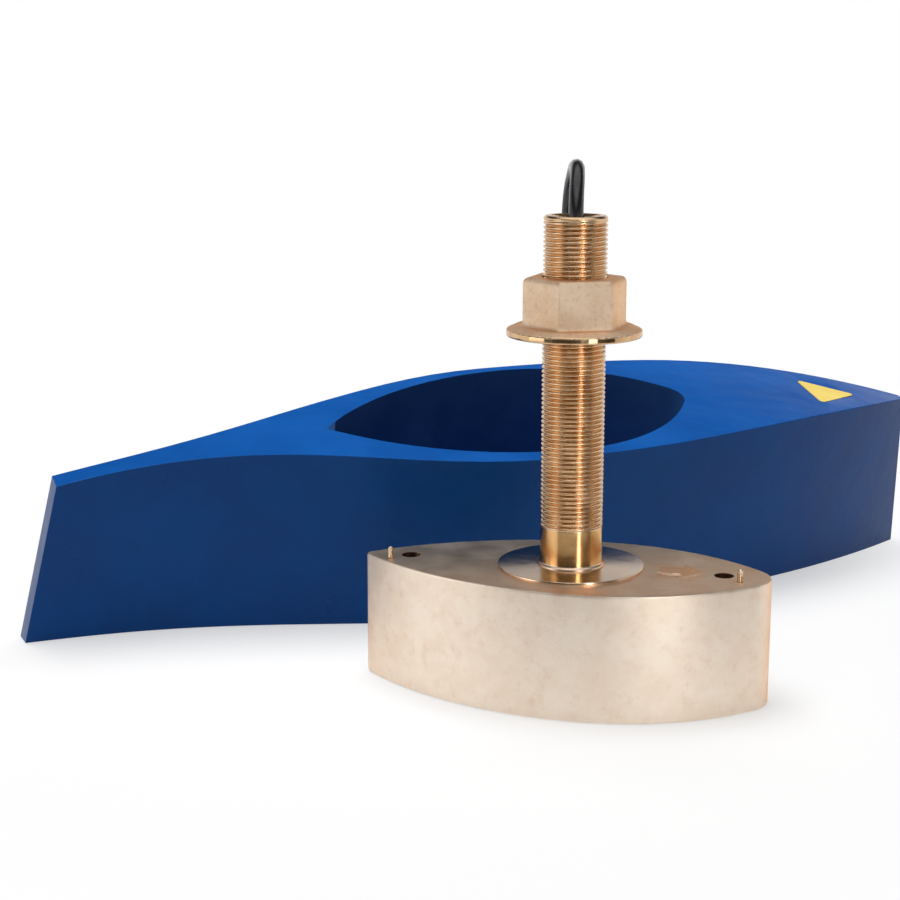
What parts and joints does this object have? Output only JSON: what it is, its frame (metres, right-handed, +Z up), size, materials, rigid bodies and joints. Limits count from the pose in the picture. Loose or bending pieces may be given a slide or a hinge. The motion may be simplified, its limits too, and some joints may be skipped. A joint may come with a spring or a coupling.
{
  "type": "sonar transducer",
  "caption": "Bronze through-hull sonar transducer with a lens-shaped housing, a threaded stem, a hull nut and a cable, and its blue streamlined fairing standing behind it.",
  "frame": {"origin": "middle of the stem's axis on the acoustic face, which is the lowest face of the housing", "axes": "+Z up along the stem, +X towards the bow along the housing's long axis, +Y to port, where the fairing stands"},
  "size_m": [0.4782, 0.409, 0.2687],
  "materials": {
    "cast_bronze": "bead-blasted casting with a turned thread, boss and flange",
    "fairing_blue": "satin moulded urethane",
    "mark_yellow": "satin",
    "cable_black": "smooth jacket",
    "window_urethane": "smooth cast",
    "ceramic": "fired",
    "cork": "granular",
    "epoxy": "poured",
    "ferrite": "pressed and varnished",
    "stainless": "turned",
    "nickel": "satin plating",
    "gold": "plated",
    "seal_rubber": "moulded",
    "strap": "woven"
  },
  "bodies": {
    "root": {"bronze_housing": "cast_bronze", "hull_nut": "cast_bronze", "locating_pin_aft": "cast_bronze", "locating_pin_fore": "cast_bronze", "acoustic_window": "window_urethane", "ceramic_element_1": "ceramic", "ceramic_element_2": "ceramic", "ceramic_element_3": "ceramic", "ceramic_element_4": "ceramic", "ceramic_element_5": "ceramic", "ceramic_element_6": "ceramic", "ceramic_element_7": "ceramic", "element_carrier": "cork", "backing_pad": "cork", "matching_transformer": "ferrite", "potting": "epoxy", "temperature_sensor": "stainless", "stem_seal": "seal_rubber", "fairing": "fairing_blue", "bow_mark": "mark_yellow", "cable": "cable_black", "cable_coil": "cable_black", "cable_tail": "cable_black", "coil_tie": "strap", "connector_boot": "cable_black", "connector_shell": "nickel", "coupling_ring": "nickel", "contact_insert": "epoxy", "contact_1": "gold", "contact_2": "gold", "contact_3": "gold", "contact_4": "gold", "contact_5": "gold"}
  },
  "joints": []
}
